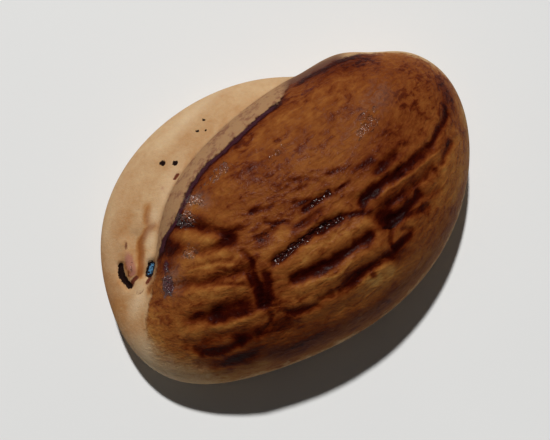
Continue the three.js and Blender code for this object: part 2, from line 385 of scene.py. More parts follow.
def stroke_place(stroke, x, y):
    """How far a place is across from a stroke's middle line, and beyond its ends."""
    along_x, along_y = stroke.end[0] - stroke.start[0], stroke.end[1] - stroke.start[1]
    length = math.hypot(along_x, along_y)
    from_x, from_y = x - stroke.start[0], y - stroke.start[1]
    along = (from_x * along_x + from_y * along_y) / length
    share = np.clip(along / length, 0, 1)
    offset = (from_y * along_x - from_x * along_y) / length - stroke.bow * 4 * share * (1 - share)
    return offset, np.maximum(np.maximum(-along, along - length), 0)


def stroke_field(stroke, x, y, spread=1.0):
    """1 along a stroke's middle, falling to 0 over its width times spread."""
    offset, beyond = stroke_place(stroke, x, y)
    return bump(offset / (stroke.width * spread)) * bump(beyond / stroke.width)


BAND_FLAT, BAND_EDGE = 0.2, 1.7  # a band is flat this far out and ends there, in widths
SIDES_RAGGED, ENDS_RAGGED = 0.45, 0.3  # how uneven its sides and ends are


def stroke_band(stroke, x, y, ragged):
    """1 over a stroke's flat middle, falling quickly to 0 past its sides and ends, which are ragged."""
    offset, beyond = stroke_place(stroke, x, y)
    away = np.abs(offset) / stroke.width + SIDES_RAGGED * ragged
    return (1 - smoothstep(away, BAND_FLAT, BAND_EDGE)) * bump(beyond / stroke.width + ENDS_RAGGED * ragged)


# The raised edges of a furrow, as shares of its depth and width.
RAISED_HEIGHT, RAISED_AWAY, RAISED_WIDTH = 0.25, 2.2, 0.9


def furrow_depth(stroke, x, y):
    """A fork stroke, with a raised edge on both sides."""
    offset, beyond = stroke_place(stroke, x, y)
    away = np.abs(offset) / stroke.width
    section = bump(away) - RAISED_HEIGHT * bump((away - RAISED_AWAY) / RAISED_WIDTH)
    return stroke.depth * bump(beyond / stroke.width) * section


def lip_offset(angle, reach):
    """Distance in plan from the glaze's lip, positive on the glazed side."""
    degrees = np.degrees(angle) % 360
    at, share = zip(*LIP_LINE)
    lip = np.interp(degrees, at, share, left=LIP_BEYOND, right=LIP_BEYOND)
    return (lip - reach / top_share(angle)) * HALF_WIDTH


class Stretch(NamedTuple):
    """A stretch of the outline and how softly it ends, in degrees round the bun."""

    start: float
    end: float
    fade: float


def on_stretch(stretch, angle):
    """1 along a stretch of the outline, and 0 past its ends."""
    start, end, fade = stretch
    degrees = np.degrees(angle) % 360
    return smoothstep(degrees, start - fade, start) - smoothstep(degrees, end, end + fade)


def lump(x, y):
    wave = 2 * math.pi / LUMP_LENGTH
    return LUMP_HEIGHT * np.sin(wave * (x + LUMP_SLANT * y)) * np.cos(wave * (y - LUMP_SLANT * x))


STREAM_STRETCH = 2.6  # how much longer than wide the streaks of the glaze are
FAN_BEND, FAN_MIDDLE = 0.0033, 8


def flow(x, y):
    """Plan coordinates bent along the strokes: they fan out from the left end and run level on the right."""
    return x, y - FAN_BEND * (x - FAN_MIDDLE) ** 2


GROOVED_LIP = Stretch(72, 152, 9)
GLAZE_STARTS, GLAZE_FULL = -0.3, 0.5  # distance in from the lip
GLAZE_THICKNESS = 0.2
WRINKLING = Noise(2.1, 0.15, 31)  # of the glaze, along the strokes
PUCKERING = Noise(1.3, 0.07, 41)  # of the glaze, all ways
UNEVENNESS = Noise(2.5, 0.04, 51)  # of glaze and bare dough alike


def relief_depth(angle, reach):
    x, y = plan_point(angle, reach)
    near_x, near_y = warped(x, y)
    soft_marks = [*WRINKLES, *SCRATCHES, *RIDGES]
    sharp_marks = [*BURST, SLOT, HOLE, *SCARS, *CREASES]
    depth = STROKE_DEPTH * sum(furrow_depth(stroke, near_x, near_y) for stroke in STROKES)
    depth = depth + STROKE_DEPTH * sum(mark.depth * stroke_field(mark, near_x, near_y) for mark in soft_marks)
    depth = depth + sum(mark.depth * stroke_field(mark, x, y) for mark in sharp_marks)
    depth = depth + PINCH_DEPTH * bump(np.hypot(near_x - PINCH_X, near_y - PINCH_Y) / PINCH_RADIUS)
    inward = lip_offset(angle, reach)
    depth = depth + LIP_DEPTH * on_stretch(GROOVED_LIP, angle) * bump(inward / LIP_WIDTH)
    glazed = smoothstep(inward, GLAZE_STARTS, GLAZE_FULL)
    along, across = flow(x, y)
    wrinkled = rough_noise(WRINKLING, along / STREAM_STRETCH, across) + rough_noise(PUCKERING, x, y)
    return depth - glazed * (GLAZE_THICKNESS + wrinkled) - rough_noise(UNEVENNESS, x, y)


# ---- surface ----


def top_height(angle, reach):
    outward = np.minimum(reach / silhouette_share(angle, DOME_SOFTNESS), 1)
    seal = sealed(angle)
    flap_rise = FLAP_RISE + (SEALED_RISE - FLAP_RISE) * seal
    edge_power = FOLD_EDGE_POWER + (SEALED_EDGE_POWER - FOLD_EDGE_POWER) * seal
    dome = flap_rise * np.sqrt(1 - outward**DOME_POWER)
    within = np.maximum(1 - (reach / top_share(angle)) ** DOME_POWER, 0)
    fold = (DOME_RISE - flap_rise) * within**edge_power
    x, y = plan_point(angle, reach)
    inside = smoothstep(1 - outward, 0, RELIEF_FADE)
    return WIDEST_Z + dome + fold + inside * (lump(x, y) - relief_depth(angle, reach))


def top_points(angle, reach):
    x, y = plan_point(angle, reach)
    return np.stack([x, y, top_height(angle, reach)], axis=-1)


def side_points(angle, share):
    """The side, from the silhouette (0) round under the bun to the edge of the flat base (1)."""
    reach = silhouette(angle)
    turn = share * math.pi / 2
    x, y = plan_point(angle, reach)
    outward = np.hypot(x - CENTRE_X, y - CENTRE_Y)
    x, y = plan_point(angle, reach * (1 - BASE_TUCK * (1 - math.cos(turn)) / outward))
    return np.stack([x, y, top_height(angle, reach) * (1 - math.sin(turn))], axis=-1)


def patch_edge(angle):
    """Reach of the top patch's edge: the top outline's, but well inside the silhouette."""
    return -soft_max(-top_share(angle), LEAST_RIM - silhouette(angle), NOTCH_SOFTNESS)


def crowded(count, amount):
    """Steps from -1 to 1 that crowd towards -1."""
    even = np.linspace(-1, 1, count + 1)
    return even - amount * (1 - even * even)


def bun_mesh():
    """Vertices, their angles and reaches, and quads: a square grid on top, rings out, down and under."""
    v, u = np.meshgrid(crowded(ROWS, ROW_CROWDING), crowded(COLUMNS, COLUMN_CROWDING), indexing="ij")
    across, up = u * np.sqrt(1 - v * v / 2), v * np.sqrt(1 - u * u / 2)
    angle = np.arctan2(up, across)
    reach = np.hypot(across, up) * patch_edge(angle)
    points = [top_points(angle, reach).reshape(-1, 3)]
    angles, reaches = [angle.ravel()], [reach.ravel()]

    index = np.arange((ROWS + 1) * (COLUMNS + 1)).reshape(ROWS + 1, COLUMNS + 1)
    quads = [np.stack([index[:-1, :-1], index[:-1, 1:], index[1:, 1:], index[1:, :-1]], -1).reshape(-1, 4)]
    ring = np.concatenate([index[0, :-1], index[:-1, -1], index[-1, :0:-1], index[:0:-1, 0]])
    around = angles[0][ring]
    edge, outer = patch_edge(around), silhouette(around)

    def add_ring(made, made_reach):
        nonlocal ring
        first = sum(len(group) for group in points)
        following = np.arange(first, first + len(ring))
        points.append(made)
        angles.append(around)
        reaches.append(made_reach)
        quads.append(np.stack([ring, following, np.roll(following, -1), np.roll(ring, -1)], -1))
        ring = following

    for step in range(1, RIM_RINGS + 1):
        ring_reach = edge + (outer - edge) * math.sin(step / RIM_RINGS * math.pi / 2)
        add_ring(top_points(around, ring_reach), ring_reach)
    for step in range(1, SIDE_RINGS + 1):
        add_ring(side_points(around, step / SIDE_RINGS), outer)
    rim = points[-1]
    middle = np.array([CENTRE_X, CENTRE_Y, 0.0])
    for step in range(1, BASE_RINGS + 1):
        add_ring(rim + (middle - rim) * step / (BASE_RINGS + 1), outer)
    points.append(middle[None])
    angles.append(np.zeros(1))
    reaches.append(np.ones(1))
    centre = sum(len(group) for group in points) - 1
    fan = [(int(a), centre, int(b)) for a, b in zip(ring, np.roll(ring, -1))]
    faces = np.concatenate(quads).tolist() + fan
    return np.concatenate(points), np.concatenate(angles), np.concatenate(reaches), faces


# ---- fields the material reads ----


class Patch(NamedTuple):
    """A soft oval on the plan, with an amount of darkness or colour."""

    x: float
    y: float
    half_length: float
    half_width: float
    turn: float
    amount: float


GLAZE_BAKE = 0.56  # how baked the unmarked glaze is, as a place on GLAZE_STOPS
# Browner and paler areas of it.
BAKE_PATCHES = [
    Patch(-2, 20, 8, 4, 0, -0.06),
    Patch(37, 9, 14, 9, 10, 0.03),
    Patch(36, 22, 8, 3, -10, 0.1),
    Patch(-24, 10.6, 5, 2.4, -35, 0.02),
    Patch(-32, 4, 8, 3, 40, -0.05),
    Patch(-20, 0.3, 2.6, 2.4, 0, 0.22),
    Patch(-23.3, 9, 1.6, 2.2, 0, 0.14),
    Patch(-37, 4, 4, 3, -35, 0.08),
    Patch(-42, -4, 5, 3, -60, -0.05),
    Patch(-49, -3.5, 3, 2, -60, -0.16),
    Patch(24, -16, 6, 3.4, 0, 0.06),
    Patch(44, -19, 9, 6, 40, -0.12),
    Patch(9, -34.5, 16, 3.2, 6, -0.17),
    Patch(56.5, -6, 1.8, 9, -8, -0.22),
    Patch(30, -3, 12, 6, 5, 0.1),
    Patch(33, -12.3, 10, 1.5, 6, 0.1),
    Patch(45.5, -9.6, 5, 1.5, 28, 0.12),
    Patch(-40, -20.5, 3, 1.5, -30, 0.18),
    Patch(19.2, -18.7, 3.2, 3.1, 0, 0.4),
    Patch(22.5, -21.5, 2.6, 1.5, 0, 0.28),
    Patch(15.3, -14.5, 2, 2, 0, 0.2),
    Patch(18.4, -27.3, 2.6, 1.2, 10, 0.22),
    Patch(-32.5, -24.2, 1.8, 1.4, 0, 0.2),
    Patch(-29, -27.5, 6, 2.8, -25, 0.12),
    Patch(-23.5, 14, 3, 2, -34, -0.16),
    Patch(-34.5, -14.6, 3.5, 1.5, -25, 0.16),
    Patch(19, 12, 8, 5, 0, 0.05),
    Patch(0, 12, 5, 4, 0, 0.07),
    Patch(42, 15, 8, 4, -20, 0.06),
    Patch(55, 0, 3, 5, 0, 0.2),
    Patch(5.8, -28.7, 3.5, 1.5, 0, 0.16),
    Patch(13.8, -29.4, 3.5, 1.8, 0, 0.12),
    Patch(17.5, -30, 4, 2, 0, 0.12),
    Patch(-27.5, -18.5, 5, 1.5, -15, 0.12),
    Patch(-43.5, -14.5, 4, 2, -30, -0.12),
    Patch(20, -27, 4, 1.6, 10, 0.12),
    Patch(-20.5, -16.5, 2.8, 5, 8, 0.18),
]
PINCH_CHAR = Patch(18.8, -21.2, 2.6, 1.4, -20, 1)

# Black pores in the bare dough, painted shade: the mesh has no holes for them.
PAINTED_SHADE_PORES = [
    Patch(-23, 30.3, 0.95, 0.95, 0, 1),
    Patch(-20, 28.2, 1.05, 0.85, 10, 1),
    Patch(-9.6, 32.4, 0.7, 0.75, 0, 0.75),
    Patch(-6.2, 34.3, 0.75, 0.65, 0, 0.72),
    Patch(-7.5, 31.3, 0.6, 0.6, 0, 0.66),
]
# Pinkish areas of the bare dough, by the burst and the pores.
BLUSHES = [
    Patch(-46.6, 11.4, 4, 1.5, 74, 1),
    Patch(-47.8, 8.6, 1.5, 0.9, 0, 0.9),
    Patch(-27.3, 24.2, 2, 0.8, 80, 0.55),
    Patch(-24.6, 26.4, 1.2, 0.6, 30, 0.35),
]
# Orange-brown seams round the burst and where the flap meets the fold.
SEAMS = [
    Stroke((-34, 22), (-35.6, 18.6), 0, 1.3, 0, 1.6),
    Stroke((-35.2, 17), (-40.8, 14.6), 0, 1.1, 0, 2.2),
    Stroke((-40.8, 14.6), (-46.2, 7.2), 0.3, 1.1, 0, 2.5),
    Stroke((-39.6, 8), (-46, 1.4), 0.3, 1.1, 0, 1.7),
    Stroke((-47.6, 12.2), (-48.6, 8.6), 0, 0.7, 0, 2.6),
]
# Toasted areas of the bare dough.
TOASTS = [
    Patch(-56, 8, 18, 6, 80, 0.9),
    Patch(-44, 20, 14, 3.4, 50, 0.6),
    Patch(-22, 22, 15, 2.4, 30, 0.4),
    Patch(-14, 33, 9, 2.2, 25, 0.35),
    Patch(-47, 12.5, 7, 4, 72, 0.8),
]
# Creamy areas of the bare dough, where it has browned least, and one of painted light.
PALES_AND_PAINTED_LIGHT = [
    Patch(-26, 23, 9, 1.8, 36, 0.7),
    Patch(-33.4, 18.6, 3, 1.6, 42, 1),
    Patch(-38.1, 13.8, 3.4, 1.5, 50, 1),
    Patch(-51, 1.2, 4, 1.8, 35, 1),
    Patch(-41, 10.4, 3, 1.2, 45, 0.7),
    Patch(-8, 38, 16, 2.4, 10, 0.8),
    # Painted light: this one lightens the lower left side, which turns away from the sun.
    Patch(-56, -18, 12, 5, 112, 1.6),
]
# Areas where thick glaze glitters.
GLINTS = [
    Patch(-21.5, 14.4, 3.4, 1.8, -50, 1.3),
    Patch(-26.6, 11.5, 3.6, 2.6, -50, 1.3),
    Patch(-30.8, 3.2, 2.6, 2.4, 0, 1.25),
    Patch(-40.9, -0.6, 3.6, 2.4, 56, 1.25),
    Patch(-38.4, 3.6, 2.2, 0.9, 50, 0.9),
    Patch(-12, 17, 8, 3, 10, 0.75),
    Patch(30, 5.5, 9, 3.4, 30, 0.75),
    Patch(4, 12, 9, 3, 10, 0.6),
    Patch(-47, 10.2, 3.4, 0.7, 64, 0.9),
]
# Areas of painted sheen, a painted highlight that lightens the glaze towards a pale pink-brown.
PAINTED_SHEENS = [
    Patch(-22, 14, 4.5, 2.6, -34, 1),
    Patch(-30.5, 3.2, 2.2, 1.8, 0, 0.9),
    Patch(-38.5, -0.5, 4, 2.4, 56, 0.7),
    Patch(24, 4, 4, 2.6, 30, 0.6),
    Patch(36, 10, 7, 4, 30, 0.45),
]
# Furrows whose glaze is all small bright facets.
GLITTER = [
    Stroke((-12, -11.9), (0.5, -11.8), 0, 1.3, 0, 1.1),
    Stroke((0.5, -11.8), (8.7, -12), 0, 1.2, 0, 0.85),
    Stroke((3.6, -5), (9.9, -5.2), -0.1, 0.9, 0, 0.85),
    Stroke((-12, -4.4), (-8.6, -4.5), 0, 1.1, 0, 0.6),
]
# Burnt glaze with a violet tinge.
PURPLES = [
    Patch(-40.9, -0.6, 3.8, 2.3, 56, 1.2),
    Patch(-38.2, 4, 3, 1.4, 50, 0.9),
    Patch(22, 22.6, 7, 1.3, -6, 0.62),
]


# Stretches of the outline that differ in glaze and burn.
BARE_SIDE = Stretch(66, 160, 9)  # a bare strip of the top flap shows beyond the lip
FAR_SIDE = Stretch(44, 178, 6)  # the lip keeps the glaze thick up to its edge
DARK_SLIVER = Stretch(55, 68, 5)  # the flap's edge beyond the lip is browned
FAINT_LIP, BURNT_LIP = Stretch(51, 64, 5), Stretch(78, 150, 8)
BROWNED_LIP = Stretch(48, 160, 9)
WORN_END = Stretch(176, 236, 8)  # the glaze thins out
SOFT_END = Stretch(197, 214, 12)  # and has no clear edge
RIGHT_END = Stretch(20, 50, 7)
SCORCHED_FOOT = Stretch(222, 284, 14)

RAGGEDNESS = Noise(2.6, 1, 71)  # of edges and ends of burnt marks
BROKENNESS = Noise(3, 0.25, 61)  # of the marks' darkness, along them
BROKEN_STRETCH = 3  # how much longer than wide the breaks are
BARE_RIM, BARE_RIGHT_END, BARE_SOFT_END = 0.4, 0.9, 1.8  # width left bare: all round, and more at the ends
RIM_SLOPE = 0.8  # how fast the glaze sets in there
SCORCH_INSET, SCORCH_WIDTH, SCORCH_BAKE = 4.8, 2.2, 0.16  # the darker band along the foot
LIP_LINE_AT, LIP_LINE_RAGGED = 0.8, 0.3  # the burnt line just inside the lip
LIP_LINE_FLAT, LIP_LINE_EDGE = 0.3, 1.4
FAINT_SHARE, LIP_BAKE = 0.4, 0.42
BROWNED_AT, BROWNED_WIDTH, BROWNED_BAKE = 2, 3, 0.11  # the wide brown band behind it
WORN_FROM, WORN_TO = -2, 6  # the worn end is thin between these distances in from where glaze ends
THIN_FROM, THIN_TO, THIN_EDGE = -1, 1.6, 0.7  # the same, and how much, all along its edge
STRIP_OVERHANG, STRIP_FADE = 1.02, 0.04  # shares of the top outline
SLIVER_LOW, SLIVER_HIGH = 10, 24  # heights between which the dark sliver sets in
PALE_FROM, PALE_RIM = 0.8, 0.25  # the pale flap is a little paler towards the silhouette
LIP_PURPLE = 0.85
# How far the hole's painted blue reflection spreads, in widths of the hole.
PAINTED_REFLECTION_SPREAD = 1.1


def patch_field(patch, x, y):
    """From amount in the middle of a patch to 0 well outside it."""
    turn = math.radians(patch.turn)
    from_x, from_y = x - patch.x, y - patch.y
    along = from_x * math.cos(turn) + from_y * math.sin(turn)
    across = from_y * math.cos(turn) - from_x * math.sin(turn)
    return patch.amount * bump(np.hypot(along / patch.half_length, across / patch.half_width))


def most(fields):
    """The largest of some fields, place by place."""
    return np.maximum.reduce(list(fields))


def bands(marks, x, y, ragged):
    return most(mark.amount * stroke_band(mark, x, y, ragged) for mark in marks)


def patches(group, x, y):
    return most(patch_field(patch, x, y) for patch in group)


def burnt_lip(angle, inward, ragged):
    """The burnt line along the lip."""
    away = np.abs(inward - LIP_LINE_AT - LIP_LINE_RAGGED * ragged)
    along_lip = FAINT_SHARE * on_stretch(FAINT_LIP, angle) + on_stretch(BURNT_LIP, angle)
    return along_lip * (1 - smoothstep(away, LIP_LINE_FLAT, LIP_LINE_EDGE))


def bake_field(near_x, near_y, ragged):
    """How baked the glaze is, away from its edges."""
    along, across = flow(near_x, near_y)
    furrow = bands([*STROKES, *WRINKLES, *SCRATCHES], near_x, near_y, ragged)
    golden = most(-mark.amount * stroke_band(mark, near_x, near_y, ragged) for mark in RIDGES)
    broken = 1 + rough_noise(BROKENNESS, along / BROKEN_STRETCH, across)
    areas = sum(patch_field(patch, near_x, near_y) for patch in BAKE_PATCHES)
    return GLAZE_BAKE + furrow * broken - golden + areas


def crust_fields(points, angle, reach):
    """Each vertex attribute of the crust, by name."""
    x, y, z = points.T
    near_x, near_y = warped(x, y)
    inward = lip_offset(angle, reach)
    ragged = rough_noise(RAGGEDNESS, x, y)
    side = on_stretch(BARE_SIDE, angle)
    soft = on_stretch(SOFT_END, angle)

    # Glaze stops at the lip, and elsewhere a little before the bun's outline.
    inset = (1 - reach / silhouette(angle)) * HALF_WIDTH
    bare_rim = BARE_RIM + BARE_RIGHT_END * on_stretch(RIGHT_END, angle) + BARE_SOFT_END * soft
    glaze = np.minimum(inward, RIM_SLOPE * (inset - bare_rim))
    worn = on_stretch(WORN_END, angle) * (1 - smoothstep(glaze, WORN_FROM, WORN_TO))
    thin = np.maximum(worn, THIN_EDGE * (1 - smoothstep(glaze, THIN_FROM, THIN_TO)))

    lip = burnt_lip(angle, inward, ragged)
    browned = on_stretch(BROWNED_LIP, angle) * bump((inward - BROWNED_AT) / BROWNED_WIDTH)
    scorched = on_stretch(SCORCHED_FOOT, angle) * bump((inset - SCORCH_INSET) / SCORCH_WIDTH)
    bake = bake_field(near_x, near_y, ragged)
    bake = bake + LIP_BAKE * lip + BROWNED_BAKE * browned + SCORCH_BAKE * scorched

    outer = smoothstep(reach / silhouette(angle), PALE_FROM, 1.0)
    seams = most(seam.amount * stroke_field(seam, near_x, near_y) for seam in SEAMS)
    # The slot and the hole, painted black inside as shade.
    shaded_tears = most(stroke_field(mark, near_x, near_y) for mark in (SLOT, HOLE))
    return {
        "glaze": glaze,
        "soft": soft,
        "thin": thin * (1 - on_stretch(FAR_SIDE, angle)),
        "bake": bake,
        "strip": smoothstep(STRIP_OVERHANG - reach / top_share(angle), 0, STRIP_FADE) * side,
        "sliver": on_stretch(DARK_SLIVER, angle) * smoothstep(z, SLIVER_LOW, SLIVER_HIGH),
        # painted shade: black in the pores, the slot and the hole
        "pit_shade": np.maximum(patches(PAINTED_SHADE_PORES, x, y), shaded_tears),
        "blush": patches(BLUSHES, near_x, near_y),
        "scar": most(mark.amount * stroke_field(mark, x, y) for mark in SCARS),
        "toast": np.maximum(patches(TOASTS, near_x, near_y), seams),
        # creamy dough, and painted light on the lower left side
        "pale": np.maximum(patches(PALES_AND_PAINTED_LIGHT, x, y), PALE_RIM * outer * side),
        "glint": np.maximum(patches(GLINTS, x, y), bands(GLITTER, near_x, near_y, ragged)),
        # painted sheen: where the glaze colour is lightened as a painted highlight
        "painted_sheen": np.minimum(sum(patch_field(patch, x, y) for patch in PAINTED_SHEENS), 1),
        "purple": np.maximum(patches(PURPLES, x, y), LIP_PURPLE * lip * side),
        "char": patch_field(PINCH_CHAR, near_x, near_y),
        # where the hole is glossy and carries a painted blue reflection
        "hole_gloss_and_painted_reflection": stroke_field(HOLE, near_x, near_y, PAINTED_REFLECTION_SPREAD),
    }


def make_bun():
    points, angle, reach, faces = bun_mesh()
    mesh = bpy.data.meshes.new("pogaca_crust")
    mesh.from_pydata((points * MM).tolist(), [], faces)
    mesh.shade_smooth()
    for name, field in crust_fields(points, angle, reach).items():
        attribute = mesh.attributes.new(name, "FLOAT", "POINT")
        attribute.data.foreach_set("value", field.astype(np.float32))
    along, across = flow(*warped(points[:, 0], points[:, 1]))
    streamed = np.stack([along / STREAM_STRETCH, across, points[:, 2]], -1) * MM
    attribute = mesh.attributes.new("stream", "FLOAT_VECTOR", "POINT")
    attribute.data.foreach_set("vector", streamed.astype(np.float32).ravel())
    bun = bpy.data.objects.new("pogaca_crust", mesh)
    bpy.context.scene.collection.objects.link(bun)
    return bun


# ---- material ----


class Graph:
    """Adds shader nodes to one material. A value is a number, a colour or another node's output."""

    def __init__(self, name):
        self.material = bpy.data.materials.new(name)
        self.material.use_nodes = True
        self.tree = self.material.node_tree
        self.shader = self.tree.nodes["Principled BSDF"]

    def node(self, kind, **settings):
        made = self.tree.nodes.new(kind)
        for name, value in settings.items():
            setattr(made, name, value)
        return made

    def put(self, socket, value):
        if isinstance(value, bpy.types.NodeSocket):
            self.tree.links.new(value, socket)
        elif isinstance(value, tuple) and socket.type == "RGBA":
            socket.default_value = (*value, 1)
        else:
            socket.default_value = value

    def math(self, operation, a, b):
        made = self.node("ShaderNodeMath", operation=operation)
        self.put(made.inputs[0], a)
        self.put(made.inputs[1], b)
        return made.outputs[0]

    def scaled(self, value, factor):
        return self.math("MULTIPLY", value, factor)

    def total(self, *values):
        result = values[0]
        for value in values[1:]:
            result = self.math("ADD", result, value)
        return result

    def swing(self, value, amount):
        """A noise value, moved from about 0.5 to about 0 and scaled."""
        return self.scaled(self.math("SUBTRACT", value, 0.5), amount)

    def step(self, value, low, high, to_low=0.0, to_high=1.0):
        """From to_low to to_high, smoothly, as a value goes from low to high."""
        made = self.node("ShaderNodeMapRange", interpolation_type="SMOOTHSTEP")
        for socket, given in zip(made.inputs, (value, low, high, to_low, to_high)):
            self.put(socket, given)
        return made.outputs[0]

    def mix(self, factor, a, b):
        made = self.node("ShaderNodeMix", data_type="RGBA")
        self.put(made.inputs[0], factor)
        self.put(made.inputs[6], a)
        self.put(made.inputs[7], b)
        return made.outputs[2]

    def blend(self, factor, a, b):
        made = self.node("ShaderNodeMix", data_type="FLOAT")
        self.put(made.inputs[0], factor)
        self.put(made.inputs[2], a)
        self.put(made.inputs[3], b)
        return made.outputs[0]

    def ramp(self, value, stops):
        made = self.node("ShaderNodeValToRGB")
        elements = made.color_ramp.elements
        while len(elements) < len(stops):
            elements.new(0.5)
        for element, (place, colour) in zip(elements, stops):
            element.position = place
            element.color = (*colour, 1)
        self.put(made.inputs[0], value)
        return made.outputs[0]

    def field(self, name):
        return self.node("ShaderNodeAttribute", attribute_name=name).outputs["Fac"]

    def vector(self, name):
        return self.node("ShaderNodeAttribute", attribute_name=name).outputs["Vector"]

    def noise(self, place, size, detail, roughness=0.55, distortion=0.0):
        """Noise in lumps about size millimetres across."""
        made = self.node("ShaderNodeTexNoise")
        self.put(made.inputs["Vector"], place)
        made.inputs["Scale"].default_value = 1 / (size * MM)
        made.inputs["Detail"].default_value = detail
        made.inputs["Roughness"].default_value = roughness
        made.inputs["Distortion"].default_value = distortion
        return made.outputs["Fac"]

    def beads(self, place, size):
        """Small domes about size millimetres apart: 0 on their tops, and more down their sides."""
        made = self.node("ShaderNodeTexVoronoi")
        self.put(made.inputs["Vector"], place)
        made.inputs["Scale"].default_value = 1 / (size * MM)
        return self.math("POWER", made.outputs["Distance"], 2.0)


GLAZE_STOPS = [
    (0.0, (0.5, 0.33, 0.14)),
    (0.2, (0.42, 0.22, 0.06)),
    (0.38, (0.31, 0.122, 0.027)),
    (0.5, (0.235, 0.074, 0.015)),
    (0.6, (0.165, 0.041, 0.008)),
    (0.7, (0.1, 0.017, 0.003)),
    (0.82, (0.036, 0.003, 0.0004)),
    (1.0, (0.013, 0.0009, 0.0004)),
]
DOUGH_STOPS = [
    (0.0, (0.54, 0.36, 0.195)),
    (0.3, (0.455, 0.268, 0.13)),
    (0.6, (0.38, 0.175, 0.06)),
    (1.0, (0.25, 0.08, 0.018)),
]
STRIP_PALE, STRIP_DARK = (0.33, 0.185, 0.09), (0.22, 0.1, 0.055)
SLIVER = (0.12, 0.052, 0.033)
BLUSH = (0.34, 0.14, 0.095)
PALE = (0.62, 0.46, 0.29)
SCAR = (0.12, 0.03, 0.015)
PURPLE = (0.045, 0.01, 0.018)
# Painted shade in the pores, the slot and the hole.
PAINTED_PORE_SHADE = (0.012, 0.005, 0.004)
CHAR = (0.01, 0.0008, 0.0004)
# A painted reflection of blue sky in the hole, with lighter painted glints.
PAINTED_BLUE_REFLECTION, PAINTED_BLUE_GLINTS = (0.01, 0.025, 0.045), (0.08, 0.2, 0.33)
# The pale tone that the painted sheen, a painted highlight, lightens the glaze towards.
PAINTED_SHEEN_TONE = (0.34, 0.17, 0.1)

GLAZE_EDGE, SOFT_GLAZE_EDGE = 0.45, 2.6  # how far the glaze takes to fade out at its edge
FLECK_BAKE, THIN_BAKE = 0.07, -0.3  # what darker flecks and thinness add to the glaze's bake
# How far the painted sheen tints the glaze, and the violet its burnt parts.
PAINTED_SHEEN_SHARE, PURPLE_SHARE = 0.6, 0.85
DOUGH_BAKE, TOAST_BAKE = 0.22, 0.45  # the bare dough's, as places on DOUGH_STOPS
PALE_SHARE, BLUSH_SHARE = 0.6, 0.9
BARE_ROUGHNESS, GLAZED_ROUGHNESS, GLASSY_ROUGHNESS = 0.75, 0.55, 0.25
CLOUDY_COAT = 0.05

# How far the noises sway the glaze's edge, the two bakes and the roughness.
EDGE_SWINGS = {"mottle": 2.4, "skin": 1.2}
GLAZE_SWINGS = {"streak": 0.3, "hair": 0.1, "mottle": 0.28, "cloud": 0.24, "skin": 0.1}
DOUGH_SWINGS = {"mottle": 0.5, "cloud": 0.5, "skin": 0.3}
ROUGHNESS_SWINGS = {"skin": 0.16, "mottle": 0.12}

# Height of each noise in the bump, on bare dough and on glaze, then of what doesn't differ between them.
BUMPS = {"streak": (0.1, 0.8), "hair": (0.1, 0.3), "skin": (0.35, 0.5)}
GRAIN_BUMP = 0.12
FACET_BUMP = -1.5  # where thick glaze glitters
BUMP_HEIGHT = 0.45

# What is the same all over the crust.
CRUST_CONSTANTS = {
    "Coat Roughness": 0.2,
    "Subsurface Weight": 0.08,
    "Subsurface Radius": (1, 0.45, 0.2),
    "Subsurface Scale": 2 * MM,
    "Specular IOR Level": 0.02,
}


class Area(NamedTuple):
    """Where a field or a noise, swayed by other noises, passes from low to high."""

    base: str
    swings: dict
    low: float
    high: float


COAT_AND_SHEEN_MOTTLE = Area("streak", {"skin": 0.8, "cloud": 0.6}, 0.36, 0.66)  # mottle of a thin clear coat on the glaze, and of its painted sheen
FLECKED = Area("streak", {"cloud": 0.8, "skin": 0.3}, 0.55, 0.75)  # darker flecks of glaze
COATED = Area("glint", {"skin": 1.6, "streak": 0.6}, 0.6, 0.75)  # thick glaze, all small facets
TANNED = Area("mottle", {"skin": 0.6}, 0.45, 0.7)  # darker parts of the strip beyond the lip
BLUSHED = Area("blush", {"mottle": 0.4}, 0.25, 0.7)
SCARRED = Area("scar", {"grain": 0.5}, 0.3, 0.7)
VIOLET = Area("purple", {"skin": 0.9}, 0.46, 0.85)
CHARRED = Area("char", {"streak": 1.4}, 0.5, 0.8)
# painted shade in the pores, the slot and the hole
PAINTED_SHADE_IN_PITS = Area("pit_shade", {"grain": 0.6}, 0.36, 0.52)
GLOSSY_PAINTED_REFLECTION = Area("hole_gloss_and_painted_reflection", {"grain": 0.8}, 0.74, 0.97)  # glossy, with a painted blue reflection, in the hole
PAINTED_GLINT_SPECKS = Area("grain", {"skin": 1.0}, 0.42, 0.6)  # painted glints of light in that reflection


class CrustGraph(Graph):
    """A graph with the noises that the crust's colour, gloss and bump share."""

    def __init__(self, name):
        super().__init__(name)
        place = self.node("ShaderNodeTexCoord").outputs["Object"]
        stream = self.vector("stream")
        self.noises = {
            "cloud": self.noise(place, size=12, detail=2),
            "mottle": self.noise(place, size=3.6, detail=4, roughness=0.6, distortion=0.4),
            "skin": self.noise(place, size=1.2, detail=3, roughness=0.6),
            "grain": self.noise(place, size=0.6, detail=2),
            "streak": self.noise(stream, size=1.9, detail=3, roughness=0.6, distortion=0.6),
            "hair": self.noise(stream, size=0.7, detail=2, roughness=0.5, distortion=0.3),
        }
        self.facet = self.beads(place, size=0.9)

    def swayed(self, value, swings):
        """A value with some of the noises added, each by its own amount."""
        return self.total(value, *(self.swing(self.noises[name], amount) for name, amount in swings.items()))

    def area(self, area):
        """1 in an area and 0 outside it, with an uneven edge."""
        base = self.noises[area.base] if area.base in self.noises else self.field(area.base)
        return self.step(self.swayed(base, area.swings), area.low, area.high)


def glaze_cover(graph):
    """1 on glaze and 0 on bare dough, with an uneven edge."""
    fade = graph.blend(graph.field("soft"), GLAZE_EDGE, SOFT_GLAZE_EDGE)
    return graph.step(graph.swayed(graph.field("glaze"), EDGE_SWINGS), graph.scaled(fade, -1.0), fade)


